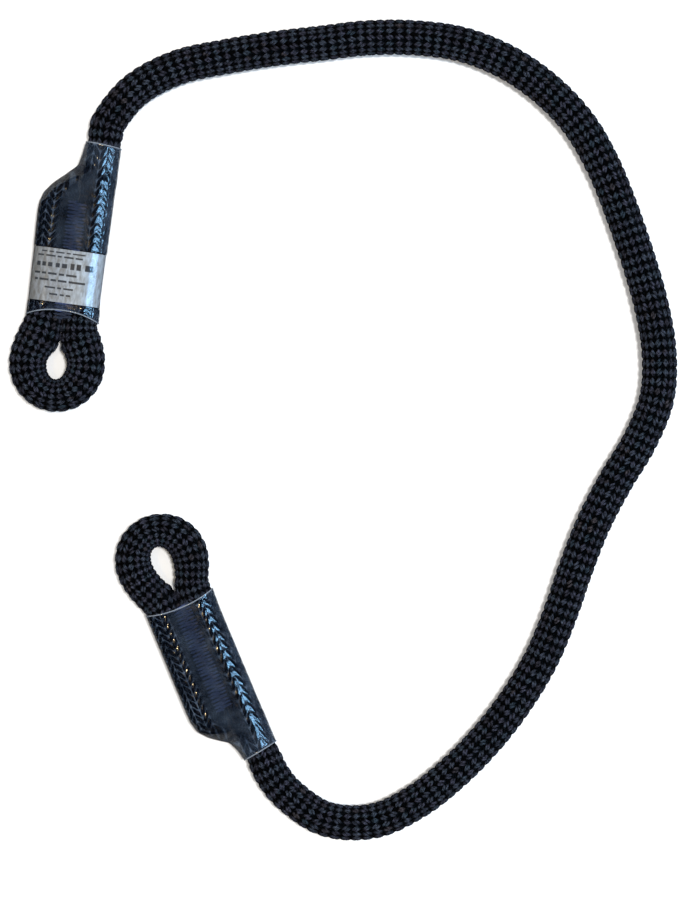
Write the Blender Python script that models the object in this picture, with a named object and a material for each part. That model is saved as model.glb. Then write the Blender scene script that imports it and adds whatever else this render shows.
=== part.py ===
"""Eye-and-eye rope lanyard for tree work, laid loosely on a flat surface.

A double-braid rope (a braided cover over a braided core) runs in a big open loop. Each end is
folded back into a small eye. The two legs beside the eye are sewn together, with the stitching
in the grooves above and below them, and a clear heat-shrunk sleeve covers the seam. One of the
two ends carries a label under its sleeve.

The free rope is divided into spans. Neighbouring spans meet in a ball and a dish around an
upright axis, so that the rope bends in the plane that it lies in. Metres, +Z up, floor at Z = 0.
"""

import math

import bmesh
import bpy
from mathutils import Vector

# Rope
ROPE_RADIUS = 0.0089
CORE_SHARE = 0.68  # core radius over rope radius
FIT_GAP = 0.0003  # between pieces that touch
COVER_SIDES = 12
CORE_SIDES = 8

# Bends between spans
SPAN_COUNT = 5
BALL_CLEARANCE = 0.0008  # from a span's ball to the next span's dish
DISH_RIM = 0.0042  # how far the dish's rim stands back from the bend's axis
STRAIGHT = 0.010  # each span is straight for this far from a bend
STATION = 0.0145  # between sections along a span

# Sewn ends
BEND_TO_SLEEVE = 0.010  # from the first bend's axis to the sleeve's mouth
NECK_RADIUS = 0.0079  # rope radius where the sleeve grips it alone
LEG_RADIUS = 0.0086  # rope radius of each of the two legs inside the sleeve
LEG_SPACING = 0.0175  # between the two legs' centre lines
TAIL_RADIUS = 0.0060  # of the tail where it is cut, and it tapers down to that
TAIL_TAPER = 0.012
EYE_RADIUS = 0.0092  # rope radius around the eye
EYE_HALF_WIDTH = 0.0143  # of the eye's centre line
EYE_END_REACH = 0.0157  # from the eye's centre to the far end of its centre line
EYE_STEPS = 8

# Sleeve
SLEEVE_WALL = 0.0005
SLEEVE_ROOM = 0.0008  # around the two legs, for the label as well
SLEEVE_SIDE_POINTS = 8
# Height of the rope inside a sleeve that lies flat on the floor
AXIS_HEIGHT = (LEG_RADIUS + SLEEVE_ROOM + SLEEVE_WALL) * math.cos(
    math.pi / (2 * SLEEVE_SIDE_POINTS)
)
SETTLE_LENGTH = 0.045  # the rope comes down from that height to the floor over this length

# Stitching and label
SEAM_SECTION = ((0.0044, 0.0083), (0.0044, 0.0080), (0.0020, 0.0062), (0.0, 0.0042))
LABEL_RADIUS = 0.0090  # of the label's middle surface around each leg
LABEL_THICKNESS = 0.0002
LABEL_START = 0.0555
LABEL_END = 0.0803
LABEL_EDGE_ANGLE = 20.0  # degrees above the side of the leg

SEAL_THICKNESS = 0.0015

# The rope's route between the two sleeves, from the labelled end's mouth to the plain end's,
# and the middle of the whole lanyard's outline, which becomes the origin
OUTLINE_MIDDLE = (0.0002, 0.0007)
ROUTE = [
    (-0.1196, 0.1432), (-0.1182, 0.1531), (-0.1042, 0.1706), (-0.0830, 0.1820),
    (-0.0595, 0.1873), (-0.0358, 0.1913), (-0.0119, 0.1941), (0.0120, 0.1968),
    (0.0361, 0.1968), (0.0598, 0.1934), (0.0821, 0.1844), (0.1018, 0.1707),
    (0.1182, 0.1532), (0.1301, 0.1324), (0.1391, 0.1101), (0.1469, 0.0874),
    (0.1535, 0.0645), (0.1576, 0.0413), (0.1568, 0.0175), (0.1484, -0.0043),
    (0.1361, -0.0248), (0.1250, -0.0460), (0.1161, -0.0685), (0.1083, -0.0912),
    (0.0990, -0.1134), (0.0867, -0.1340), (0.0721, -0.1530), (0.0553, -0.1702),
    (0.0364, -0.1850), (0.0148, -0.1948), (-0.0090, -0.1937), (-0.0280, -0.1810),
    (-0.0373, -0.1685), (-0.0412, -0.1593),
]

# Each sewn end: its direction from the sleeve's mouth to the eye, the side that the tail leg
# is on, and distances from the mouth along that direction. The shoulder gives how far the
# inside of the sleeve reaches beside the standing leg's centre line, at each distance.
ENDS = {
    "labelled_end": {
        "mouth": 0,
        "towards_eye": (-0.133, -0.991),
        "tail_side": -1,
        "sleeve_length": 0.084,
        "neck_end": 0.0125,
        "shoulder": (
            (0.0125, 0.0082), (0.0150, 0.0135), (0.0190, 0.0190),
            (0.0235, 0.0235), (0.0290, 0.0262), (0.0350, 0.0269),
        ),
        "tail_end": 0.0215,
        "tail_slant": 0.80,
        "seam": (0.0300, 0.0865),
        "throat": 0.012,
        "eye_centre": 0.0270,
    },
    "plain_end": {
        "mouth": -1,
        "towards_eye": (-0.388, 0.922),
        "tail_side": 1,
        "sleeve_length": 0.082,
        "neck_end": 0.0100,
        "shoulder": (
            (0.0100, 0.0082), (0.0120, 0.0145), (0.0150, 0.0200),
            (0.0190, 0.0240), (0.0240, 0.0265), (0.0300, 0.0269),
        ),
        "tail_end": 0.0165,
        "tail_slant": 0.35,
        "seam": (0.0262, 0.0832),
        "throat": 0.006,
        "eye_centre": 0.0246,
    },
}

UP = Vector((0, 0, 1))


def smoothstep(t):
    t = min(max(t, 0.0), 1.0)
    return t * t * (3 - 2 * t)


def principled(name, colour, roughness, metallic=0.0, alpha=1.0):
    """A material of one colour."""
    material = bpy.data.materials.new(name)
    material.use_nodes = True
    shader = material.node_tree.nodes["Principled BSDF"]
    shader.inputs["Base Color"].default_value = (*colour, 1.0)
    shader.inputs["Roughness"].default_value = roughness
    shader.inputs["Metallic"].default_value = metallic
    shader.inputs["Alpha"].default_value = alpha
    material.diffuse_color = (*colour, alpha)
    return material


def add_body(name, location, heading=0.0):
    """The empty that one rigid body's pieces hang from, on its bend's axis."""
    body = bpy.data.objects.new(name, None)
    bpy.context.scene.collection.objects.link(body)
    body.location = location
    body.rotation_euler = (0, 0, heading)
    return body


def add_piece(name, rings, material, body, ends="open"):
    """A named object skinned over rings of points, given in the body's own frame.

    With ends "open" the last ring joins the first, which makes a tube with a wall. Otherwise
    ends holds the two middle points that close the first and the last ring.
    """
    bm = bmesh.new()
    loops = [[bm.verts.new(p) for p in ring] for ring in rings]
    count = len(loops[0])
    pairs = list(zip(loops, loops[1:]))
    if ends == "open":
        pairs.append((loops[-1], loops[0]))
    for near, far in pairs:
        for i in range(count):
            j = (i + 1) % count
            bm.faces.new((near[i], near[j], far[j], far[i]))
    if ends != "open":
        for middle, loop in zip(ends, (loops[0], loops[-1])):
            tip = bm.verts.new(middle)
            for i in range(count):
                bm.faces.new((tip, loop[i], loop[(i + 1) % count]))
    bmesh.ops.recalc_face_normals(bm, faces=bm.faces)
    mesh = bpy.data.meshes.new(name)
    bm.to_mesh(mesh)
    bm.free()
    mesh.shade_smooth()
    mesh.set_sharp_from_angle(angle=math.radians(40))
    mesh.materials.append(material)
    piece = bpy.data.objects.new(name, mesh)
    bpy.context.scene.collection.objects.link(piece)
    piece.parent = body
    return piece


def ring(centre, direction, radius, sides, slant=0.0):
    """A circle of points square to direction. With a slant, its left side leans forward."""
    left = UP.cross(direction).normalized()
    over = direction.cross(left).normalized()
    points = []
    for i in range(sides):
        angle = 2 * math.pi * i / sides
        across = radius * math.cos(angle)
        offset = left * across + over * (radius * math.sin(angle))
        points.append(centre + offset + direction * (slant * across))
    return points


class Section:
    """One place along a rope: its centre, its direction, its radius and the slant of a cut."""

    def __init__(self, centre, direction, radius, slant=0.0):
        self.centre = Vector(centre)
        self.direction = Vector(direction).normalized()
        self.radius = radius
        self.slant = slant

    def ahead(self, distance):
        return self.centre + self.direction * distance


def core_radius(rope_radius):
    return CORE_SHARE * rope_radius


def bore_radius(rope_radius):
    """Of the cover's inside, whose flats keep the gap to the core."""
    return (core_radius(rope_radius) + FIT_GAP) / math.cos(math.pi / COVER_SIDES)


def sphere_steps(sphere, first, last, count):
    """(distance, radius) around a sphere, from one circle's radius to another's."""
    a, b = math.acos(first / sphere), math.acos(last / sphere)
    angles = [a + (b - a) * i / count for i in range(count + 1)]
    return [(sphere * math.sin(t), sphere * math.cos(t)) for t in angles]


def ball_profile(inner):
    """From the rope's side over the ball, down to the radius inner."""
    return sphere_steps(ROPE_RADIUS, ROPE_RADIUS, inner, 4)


def dish_profile(inner):
    """From the dish's rim down to the radius inner."""
    sphere = ROPE_RADIUS + BALL_CLEARANCE
    rim = math.sqrt(sphere**2 - DISH_RIM**2)
    return [(DISH_RIM, ROPE_RADIUS)] + sphere_steps(sphere, rim, inner, 2)


def rings_at(section, profile, way, sides):
    """Rings of a profile measured from a section, ahead of it (way 1) or behind it (-1)."""
    return [
        ring(section.ahead(way * distance), section.direction, radius, sides)
        for distance, radius in profile
    ]


def rope_pieces(names, sections, start, end, materials, body):
    """The braided cover and core of one length of rope.

    start and end are each "ball", "dish" or "cut". A ball or a dish is centred on the bend's
    axis, which is where the first or the last section is.
    """
    first, last = sections[0], sections[-1]
    middle = sections[1:-1]
    bore = bore_radius(ROPE_RADIUS)
    outer = [ring(s.centre, s.direction, s.radius, COVER_SIDES, s.slant) for s in middle]
    inner = [
        ring(s.centre, s.direction, bore_radius(s.radius), COVER_SIDES, s.slant)
        for s in middle
    ]
    core = [
        ring(s.centre, s.direction, core_radius(s.radius), CORE_SIDES, s.slant)
        for s in middle
    ]
    tips = []
    for section, form, way in ((first, start, 1), (last, end, -1)):
        if form == "cut":
            slanted = (section.centre, section.direction)
            cover_end = [ring(*slanted, section.radius, COVER_SIDES, section.slant)]
            cover_end.append(
                ring(*slanted, bore_radius(section.radius), COVER_SIDES, section.slant)
            )
            core_end = [
                ring(*slanted, core_radius(section.radius), CORE_SIDES, section.slant)
            ]
            tips.append(section.centre)
        elif form == "ball":
            cover_end = rings_at(section, ball_profile(bore), -way, COVER_SIDES)
            profile = sphere_steps(ROPE_RADIUS, core_radius(ROPE_RADIUS), 0.002, 2)
            core_end = rings_at(section, profile, -way, CORE_SIDES)[::-1]
            tips.append(section.ahead(-way * ROPE_RADIUS))
        else:
            sphere = ROPE_RADIUS + BALL_CLEARANCE
            cover_end = rings_at(section, dish_profile(bore), way, COVER_SIDES)
            profile = sphere_steps(sphere, core_radius(ROPE_RADIUS), 0.003, 1)
            core_end = rings_at(section, profile, way, CORE_SIDES)[::-1]
            tips.append(section.ahead(way * sphere))
        if way == 1:
            outer = cover_end[::-1] + outer
            core = core_end + core
        else:
            outer = outer + cover_end
            core = core + core_end[::-1]
    add_piece(names[0], outer + inner[::-1], materials["cover"], body)
    add_piece(names[1], core, materials["core"], body, ends=tips)


def catmull_rom(points, per_leg=24):
    """A fine, smooth line through points, with its ends carried on straight."""
    points = [Vector(p) for p in points]
    points = [2 * points[0] - points[1], *points, 2 * points[-1] - points[-2]]
    line = []
    for a, b, c, d in zip(points, points[1:], points[2:], points[3:]):
        for i in range(per_leg):
            t = i / per_leg
            line.append(
                0.5
                * (
                    2 * b
                    + (c - a) * t
                    + (2 * a - 5 * b + 4 * c - d) * t**2
                    + (3 * b - a - 3 * c + d) * t**3
                )
            )
    return [*line, points[-2]]


class Route:
    """The free rope's centre line, by distance from the labelled end's sleeve."""

    def __init__(self):
        middle = Vector((*OUTLINE_MIDDLE, 0))
        line = catmull_rom([Vector((x, y, 0)) - middle for x, y in ROUTE])
        self.along = [0.0]
        for a, b in zip(line, line[1:]):
            self.along.append(self.along[-1] + (b - a).length)
        self.length = self.along[-1]
        self.points = [
            Vector((p.x, p.y, self.height(s))) for p, s in zip(line, self.along)
        ]

    def height(self, s):
        from_sleeve = min(s, self.length - s) - BEND_TO_SLEEVE - STRAIGHT
        drop = smoothstep(from_sleeve / SETTLE_LENGTH) * (AXIS_HEIGHT - ROPE_RADIUS)
        return AXIS_HEIGHT - drop

    def at(self, s):
        i = 1
        while i < len(self.along) - 1 and self.along[i] < s:
            i += 1
        low, high = self.along[i - 1], self.along[i]
        return self.points[i - 1].lerp(self.points[i], (s - low) / (high - low))

    def direction(self, s, reach=0.002):
        return (self.at(s + reach) - self.at(s - reach)).normalized()


def span_sections(route, start, end):
    """Sections from one bend's axis to the next. The rope is straight beside each of them."""
    count = round((end - start - 2 * STRAIGHT) / STATION)
    sections = [Section(route.at(start), route.direction(start), ROPE_RADIUS)]
    for i in range(count + 1):
        s = start + STRAIGHT + (end - start - 2 * STRAIGHT) * i / count
        sections.append(Section(route.at(s), route.direction(s), ROPE_RADIUS))
    sections.append(Section(route.at(end), route.direction(end), ROPE_RADIUS))
    return sections


def move_to(sections, origin):
    for s in sections:
        s.centre = s.centre - origin
    return sections


def end_frame_point(end, along, across, height=0.0):
    """A point of a sewn end, in its body's frame: +X runs from the bend towards the eye."""
    return Vector((BEND_TO_SLEEVE + along, across * end["tail_side"], height))


def leg_radius_at(end, along):
    """Of the standing leg: full at the bend, gripped in the neck, then one of two legs."""
    if along < 0:
        share = smoothstep(-along / BEND_TO_SLEEVE)
        return NECK_RADIUS + share * (ROPE_RADIUS - NECK_RADIUS)
    share = smoothstep((along - end["neck_end"]) / 0.008)
    return NECK_RADIUS + share * (LEG_RADIUS - NECK_RADIUS)


def eye_sections(end):
    """The centre line from the bend, along the standing leg, round the eye to the tail's cut."""
    half = LEG_SPACING / 2
    length = end["sleeve_length"]
    centre = length + end["eye_centre"]
    throat = length + end["throat"]
    standing = [-BEND_TO_SLEEVE, -0.0005, end["neck_end"], end["neck_end"] + 0.008]
    standing += [0.055, length, throat]
    places = [(u, 0.0, leg_radius_at(end, u)) for u in standing]
    for i in range(1, 4):
        u = throat + (centre - throat) * i / 4
        share = smoothstep((u - throat) / (centre - throat))
        across = -share * (EYE_HALF_WIDTH - half)
        places.append((u, across, LEG_RADIUS + share * (EYE_RADIUS - LEG_RADIUS)))
    for i in range(EYE_STEPS // 2 + 1):
        angle = math.pi * i / EYE_STEPS
        u = centre + EYE_END_REACH * math.sin(angle)
        places.append((u, half - EYE_HALF_WIDTH * math.cos(angle), EYE_RADIUS))
    far_side = [
        (u, LEG_SPACING - across, radius)
        for u, across, radius in reversed(places[:-1])
        if u > end["tail_end"] + TAIL_TAPER
    ]
    places += far_side
    places.append((end["tail_end"] + TAIL_TAPER, LEG_SPACING, LEG_RADIUS))
    cut = end["tail_end"] + SEAL_THICKNESS + FIT_GAP
    places.append((cut, LEG_SPACING, TAIL_RADIUS))
    points = [end_frame_point(end, u, across) for u, across, _ in places]
    sections = []
    for i, point in enumerate(points):
        before, after = points[max(i - 1, 0)], points[min(i + 1, len(points) - 1)]
        sections.append(Section(point, after - before, places[i][2]))
    for section in sections[:4]:
        section.direction = Vector((1, 0, 0))
    # The tail runs back towards the neck, and its cut leans so that its outer side is shorter.
    sections[-1].slant = tail_slant(end)
    return sections


def tail_slant(end):
    """The cut's slant for a section that faces the neck."""
    return end["tail_slant"] * end["tail_side"]


def stadium(end, along, spread, radius):
    """A ring around the standing leg and, past the neck, around the tail leg as well."""
    step = math.pi / SLEEVE_SIDE_POINTS
    points = []
    for i in range(2 * SLEEVE_SIDE_POINTS):
        angle = -math.pi / 2 + step * (i + 0.5)
        across = -radius * math.cos(angle)
        if i >= SLEEVE_SIDE_POINTS:
            across += spread
        points.append(end_frame_point(end, along, across, radius * math.sin(angle)))
    return points


def add_sleeve(name, end, materials, body):
    """The clear sleeve: two legs wide, with a rounded shoulder down to a neck around the rope."""
    neck, body_radius = NECK_RADIUS + FIT_GAP, LEG_RADIUS + SLEEVE_ROOM
    stations = [(0.0, 0.0, neck)]
    for i, (along, reach) in enumerate(end["shoulder"]):
        radius = neck + min(i / 3, 1.0) * (body_radius - neck)
        stations.append((along, reach - radius, radius))
    stations.append((end["sleeve_length"], LEG_SPACING, body_radius))
    outer = [stadium(end, u, spread, radius + SLEEVE_WALL) for u, spread, radius in stations]
    inner = [stadium(end, u, spread, radius) for u, spread, radius in stations]
    add_piece(name, outer + inner[::-1], materials["sleeve"], body)


def add_seam(name, end, side, materials, body):
    """The bar of stitching in the groove between the legs, above (1) or below (-1) them."""
    half = [(y, z * side) for y, z in SEAM_SECTION]
    outline = half + [(-y, z) for y, z in reversed(half[:-1])]
    rings = [
        [end_frame_point(end, u, LEG_SPACING / 2 + y, z) for y, z in outline]
        for u in end["seam"]
    ]
    middle = side * 0.0070
    tips = [end_frame_point(end, u, LEG_SPACING / 2, middle) for u in end["seam"]]
    add_piece(name, rings, materials["thread"], body, ends=tips)


def add_tail_seal(name, end, materials, body):
    """The hot-cut end of the tail, where the fibres have melted together."""
    rings = []
    for depth in (0.0, SEAL_THICKNESS):
        centre = end_frame_point(end, end["tail_end"] + depth, LEG_SPACING)
        backwards = Vector((-1, 0, 0))
        rings.append(ring(centre, backwards, TAIL_RADIUS, COVER_SIDES, tail_slant(end)))
    tips = [
        end_frame_point(end, end["tail_end"] + depth, LEG_SPACING)
        for depth in (0.0, SEAL_THICKNESS)
    ]
    add_piece(name, rings, materials["seal"], body, ends=tips)


def add_label(name, end, materials, body):
    """A thin printed strip that arches over both legs under the sleeve."""
    edge = math.radians(LABEL_EDGE_ANGLE)
    steps = 4
    turns = [edge + (math.pi / 2 - edge) * i / steps for i in range(steps + 1)]

    def arch(u, radius):
        near = [(-radius * math.cos(t), radius * math.sin(t)) for t in turns]
        far = [(LEG_SPACING - y, z) for y, z in reversed(near)]
        return [end_frame_point(end, u, y, z) for y, z in near + far]

    low, high = LABEL_RADIUS - LABEL_THICKNESS / 2, LABEL_RADIUS + LABEL_THICKNESS / 2
    bm = bmesh.new()
    sheets = []
    for radius in (low, high):
        rows = [arch(LABEL_START, radius), arch(LABEL_END, radius)]
        sheets.append([[bm.verts.new(p) for p in row] for row in rows])
    count = len(sheets[0][0])
    for sheet in sheets:
        for i in range(count - 1):
            bm.faces.new((sheet[0][i], sheet[0][i + 1], sheet[1][i + 1], sheet[1][i]))
    for row in (0, 1):
        for i in range(count - 1):
            a, b = sheets[0][row], sheets[1][row]
            bm.faces.new((a[i], a[i + 1], b[i + 1], b[i]))
    for i in (0, count - 1):
        corners = (sheets[0][0][i], sheets[0][1][i], sheets[1][1][i], sheets[1][0][i])
        bm.faces.new(corners)
    bmesh.ops.recalc_face_normals(bm, faces=bm.faces)
    mesh = bpy.data.meshes.new(name)
    bm.to_mesh(mesh)
    bm.free()
    mesh.materials.append(materials["label"])
    piece = bpy.data.objects.new(name, mesh)
    bpy.context.scene.collection.objects.link(piece)
    piece.parent = body


def add_end(name, end, start, materials, origin):
    """One sewn end. Its empty stands on the axis of the bend beside its sleeve."""
    x, y = end["towards_eye"]
    body = add_body(name, origin, math.atan2(y, x))
    names = (f"{name}_cover", f"{name}_core")
    sections = eye_sections(end)
    rope_pieces(names, sections, start, "cut", materials, body)
    add_tail_seal(f"{name}_tail_seal", end, materials, body)
    add_seam(f"{name}_stitching_top", end, 1, materials, body)
    add_seam(f"{name}_stitching_bottom", end, -1, materials, body)
    add_sleeve(f"{name}_sleeve", end, materials, body)
    return body


def clear_scene():
    for obj in list(bpy.data.objects):
        bpy.data.objects.remove(obj)


def main():
    clear_scene()
    materials = {
        "cover": principled("braided_cover", (0.028, 0.027, 0.034), 0.75),
        "core": principled("braided_core", (0.60, 0.60, 0.58), 0.80),
        "thread": principled("sewing_thread", (0.012, 0.022, 0.075), 0.55),
        "seal": principled("melted_rope_end", (0.015, 0.015, 0.018), 0.35),
        "sleeve": principled("clear_sleeve", (0.80, 0.84, 0.90), 0.15, alpha=0.35),
        "label": principled("label_film", (0.62, 0.64, 0.68), 0.40),
    }
    route = Route()
    first, last = BEND_TO_SLEEVE, route.length - BEND_TO_SLEEVE
    bends = [first + (last - first) * i / SPAN_COUNT for i in range(SPAN_COUNT + 1)]
    middle_span = (SPAN_COUNT + 1) // 2
    for number in range(1, SPAN_COUNT + 1):
        start, end = bends[number - 1], bends[number]
        origin = route.at(end if number < middle_span else start)
        body = add_body(f"span_{number}", origin)
        sections = move_to(span_sections(route, start, end), origin)
        names = (f"rope_cover_{number}", f"rope_core_{number}")
        rope_pieces(names, sections, "dish", "ball", materials, body)
    labelled = ENDS["labelled_end"]
    body = add_end("labelled_end", labelled, "ball", materials, route.at(first))
    add_label("label", labelled, materials, body)
    add_end("plain_end", ENDS["plain_end"], "dish", materials, route.at(last))


main()
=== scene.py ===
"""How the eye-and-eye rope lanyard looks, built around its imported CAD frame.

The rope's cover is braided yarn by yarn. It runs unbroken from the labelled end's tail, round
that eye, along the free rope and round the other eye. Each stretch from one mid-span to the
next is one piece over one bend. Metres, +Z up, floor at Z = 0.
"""

import math

import bpy
import numpy as np
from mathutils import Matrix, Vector


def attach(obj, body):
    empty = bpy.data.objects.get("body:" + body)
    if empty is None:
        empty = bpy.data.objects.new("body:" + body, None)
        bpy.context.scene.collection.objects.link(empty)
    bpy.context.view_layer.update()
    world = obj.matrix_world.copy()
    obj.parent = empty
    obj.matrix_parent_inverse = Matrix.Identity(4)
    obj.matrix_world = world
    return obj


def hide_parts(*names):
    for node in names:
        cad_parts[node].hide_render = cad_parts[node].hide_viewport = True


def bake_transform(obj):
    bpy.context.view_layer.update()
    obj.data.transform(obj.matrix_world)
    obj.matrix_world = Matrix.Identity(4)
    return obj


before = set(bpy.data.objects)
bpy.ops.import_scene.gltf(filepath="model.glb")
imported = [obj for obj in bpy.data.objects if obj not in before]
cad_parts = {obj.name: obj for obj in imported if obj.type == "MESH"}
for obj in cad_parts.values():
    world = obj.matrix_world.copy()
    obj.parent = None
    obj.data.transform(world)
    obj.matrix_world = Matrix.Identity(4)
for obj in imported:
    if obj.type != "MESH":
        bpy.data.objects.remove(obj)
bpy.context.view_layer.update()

# Rope, which is a little fuller inside the sleeves than in the CAD
ROPE_RADIUS = 0.0089
CORE_SHARE = 0.68  # core radius over rope radius
NECK_RADIUS = 0.0082  # where the sleeve grips it alone
LEG_RADIUS = 0.0087  # of each of the two legs inside the sleeve
LEG_SPACING = 0.0175  # between the two legs' centre lines
EYE_RADIUS = 0.0092  # half height of the rope around the eye
EYE_FAR = 0.0083  # half width of the rope at the eye's far end
TAIL_RADIUS = 0.0070  # where the tail is cut
TAIL_TAPER = 0.010  # over which the tail grows from that to a leg's size
SEAL_THICKNESS = 0.0018  # of the tail's melted end
CUT_EASING = 0.012  # how far along the tail the slant of its cut is felt
BEND_TO_SLEEVE = 0.010  # from the first bend's axis to the sleeve's mouth
SPAN_COUNT = 5

# Height of the rope's axis inside a CAD sleeve that lies flat on the floor, its rounded sides
# having 16 flats to a turn. The free rope comes down to the floor over the settle length.
AXIS_HEIGHT = 0.0099 * math.cos(math.pi / 16)
SETTLE_START = 0.020
SETTLE_LENGTH = 0.045

# The rope's route between the two sleeves, from the labelled end's mouth to the plain end's,
# and the middle of the whole lanyard's outline, which is the origin
OUTLINE_MIDDLE = (0.0002, 0.0007)
ROUTE = [
    (-0.1196, 0.1432), (-0.1182, 0.1531), (-0.1042, 0.1706), (-0.0830, 0.1820),
    (-0.0595, 0.1873), (-0.0358, 0.1913), (-0.0119, 0.1941), (0.0120, 0.1968),
    (0.0361, 0.1968), (0.0598, 0.1934), (0.0821, 0.1844), (0.1018, 0.1707),
    (0.1182, 0.1532), (0.1301, 0.1324), (0.1391, 0.1101), (0.1469, 0.0874),
    (0.1535, 0.0645), (0.1576, 0.0413), (0.1568, 0.0175), (0.1484, -0.0043),
    (0.1361, -0.0248), (0.1250, -0.0460), (0.1161, -0.0685), (0.1083, -0.0912),
    (0.0990, -0.1134), (0.0867, -0.1340), (0.0721, -0.1530), (0.0553, -0.1702),
    (0.0364, -0.1850), (0.0148, -0.1948), (-0.0090, -0.1937), (-0.0280, -0.1810),
    (-0.0373, -0.1685), (-0.0412, -0.1593),
]

# Each sewn end. Places run from the sleeve's mouth towards the eye, and the tail leg is on the
# left (1) or the right (-1). Reach gives how far the sleeve goes beside the standing leg's
# centre line. Rim is the film's length in its middle, and what it gains on the tail's side and
# on the other. Past the sleeve's end come the places where the legs (standing, tail) begin to
# flare, where they part, and the eye's centre. Opening is how quickly they part. The eye has
# half its centre line's width, the rope's half width beside it, the reach of its centre line
# past its centre, and its shift to the tail's side.
ENDS = {
    "labelled_end": {
        "towards_eye": (-0.133, -0.991),
        "tail_side": -1,
        "sleeve_length": 0.084,
        "neck_end": 0.0125,
        "tail_end": 0.0215,
        "tail_slant": 0.80,
        "reach": (
            (0.0, 0.0092), (0.0060, 0.0103), (0.0115, 0.0116), (0.0135, 0.0136),
            (0.0171, 0.0175), (0.0220, 0.0230), (0.0270, 0.0269), (0.0321, 0.0285),
            (0.0360, 0.0288), (0.0500, 0.0284), (0.0840, 0.0276),
        ),
        "rim": (0.0850, 0.0035, 0.0040),
        "mouth_tilt": 0.0007,
        "seam": (0.0300, 0.0893),
        "throat": 0.0147,
        "opening": 1.75,
        "flare": (0.007, 0.002),
        "eye_half": 0.0146,
        "eye_side": 0.0097,
        "eye_reach": 0.0163,
        "eye_shift": 0.0002,
        "eye_centre": 0.0270,
    },
    "plain_end": {
        "towards_eye": (-0.388, 0.922),
        "tail_side": 1,
        "sleeve_length": 0.082,
        "neck_end": 0.0100,
        "tail_end": 0.0165,
        "tail_slant": 0.35,
        "reach": (
            (0.0, 0.0096), (0.0050, 0.0109), (0.0090, 0.0129), (0.0106, 0.0147),
            (0.0128, 0.0180), (0.0163, 0.0224), (0.0209, 0.0261), (0.0262, 0.0274),
            (0.0350, 0.0275), (0.0820, 0.0271),
        ),
        "rim": (0.0816, 0.0026, 0.0026),
        "mouth_tilt": 0.0013,
        "seam": (0.0262, 0.0832),
        "throat": 0.0064,
        "opening": 2.0,
        "flare": (0.007, 0.0015),
        "eye_half": 0.0143,
        "eye_side": 0.0094,
        "eye_reach": 0.0154,
        "eye_shift": 0.0003,
        "eye_centre": 0.0246,
    },
}

# Sleeve
NECK_OUTSIDE = 0.0087
BODY_OUTSIDE = 0.0091
SLEEVE_WALL = 0.00028
SLEEVE_ROOM = 0.0003  # between the film and the tail leg
LEG_SQUEEZE = 0.0005  # by which the film presses the standing leg's outer side in
FILM_SQUEEZE = 0.055  # of the film's own radius there
LEGS_PRESSED = 0.0006  # by which each leg is fuller where it meets the other
SAG = 0.00040  # of the film over the groove between the legs
CROWN_HEIGHT = 0.00020  # of a yarn's crown, as it shows in the film
WRINKLE_HEIGHT = 0.00004
LIP = 0.00022  # by which the film is wider at its mouths
SLEEVE_ROWS = 216
SLEEVE_SIDES = 224

# Stitching
THREAD_RADIUS = 0.00038
SEAM_HALF_WIDTH = 0.0050
SEAM_HEIGHT = 0.0079  # of the thread, from the legs' axes
STITCH = 0.00088  # along the seam, for each crossing of the thread
CROSSING_POINTS = 12

# Label
LABEL = (0.0545, 0.0811)  # where it begins and ends along the sleeve
LABEL_THICKNESS = 0.00012
LABEL_EDGE = -0.0030  # height of its long edges, from the legs' axes
LABEL_ROWS = 150
LABEL_COLUMNS = 260
LABEL_SMOOTHING = 0.9  # share of the crowns that doesn't show over the label

# Braid: 16 carriers each way, over two and under two, with two yarns side by side on each
CARRIERS = 16
LEAD = 0.077  # rope for one turn of a carrier
EYE_LEAD = 0.064  # the same around an eye
TIGHTEN_AT = 0.060  # the braid tightens from one to the other at that place in the sleeve
TIGHTEN_OVER = 0.03
YARN_PLACE = 0.240  # of each yarn beside its carrier's middle, over the carriers' spacing
YARN_WIDTH = 0.00140
YARN_THICKNESS = 0.00104
CROWN_LIFT = 0.00074
YARN_SLOPE = 0.808  # length of rope over length of yarn
YARN_SIDES = 6  # of a yarn, or a thread
WANDER = 0.018  # how far a yarn strays round the rope, in radians
WANDER_LENGTH = 0.033
UNEVENNESS = 0.00004  # how far a yarn strays in and out
UNEVEN_LENGTH = 0.0127
STEP = 0.00066  # between the rings of a yarn
EYE_STEP = 0.00084
LINING_RADII = (0.0069, 0.0063)
LINING_STEP = 0.002
CORE_STEP = 0.003
JOIN = 0.048  # how far inside the sleeve the free rope's piece meets the eye's

# Camera
VIEW_HEIGHT = 0.4565  # at the height of the rope's top
CAMERA_DISTANCE = 2.0
CAMERA_MIDDLE = (0.0000, -0.0132)

UP = np.array((0.0, 0.0, 1.0))
random = np.random.default_rng(7)


# ---- the rope's line


def smoothstep(t):
    t = np.clip(t, 0.0, 1.0)
    return t * t * (3 - 2 * t)


def unit(v):
    return v / np.linalg.norm(v, axis=-1, keepdims=True)


def catmull_rom(points, per_leg=24):
    """A fine, smooth line through points, with its ends carried on straight."""
    p = np.array(points, float)
    p = np.vstack((2 * p[0] - p[1], p, 2 * p[-1] - p[-2]))
    t = (np.arange(per_leg) / per_leg)[:, None]
    line = []
    for a, b, c, d in zip(p, p[1:], p[2:], p[3:]):
        square = (2 * a - 5 * b + 4 * c - d) * t**2
        cube = (3 * b - a - 3 * c + d) * t**3
        line.append(0.5 * (2 * b + (c - a) * t + square + cube))
    return np.vstack((*line, p[-2]))


def lengths_along(points):
    steps = np.linalg.norm(np.diff(points, axis=0), axis=1)
    return np.concatenate(([0.0], np.cumsum(steps)))


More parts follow.
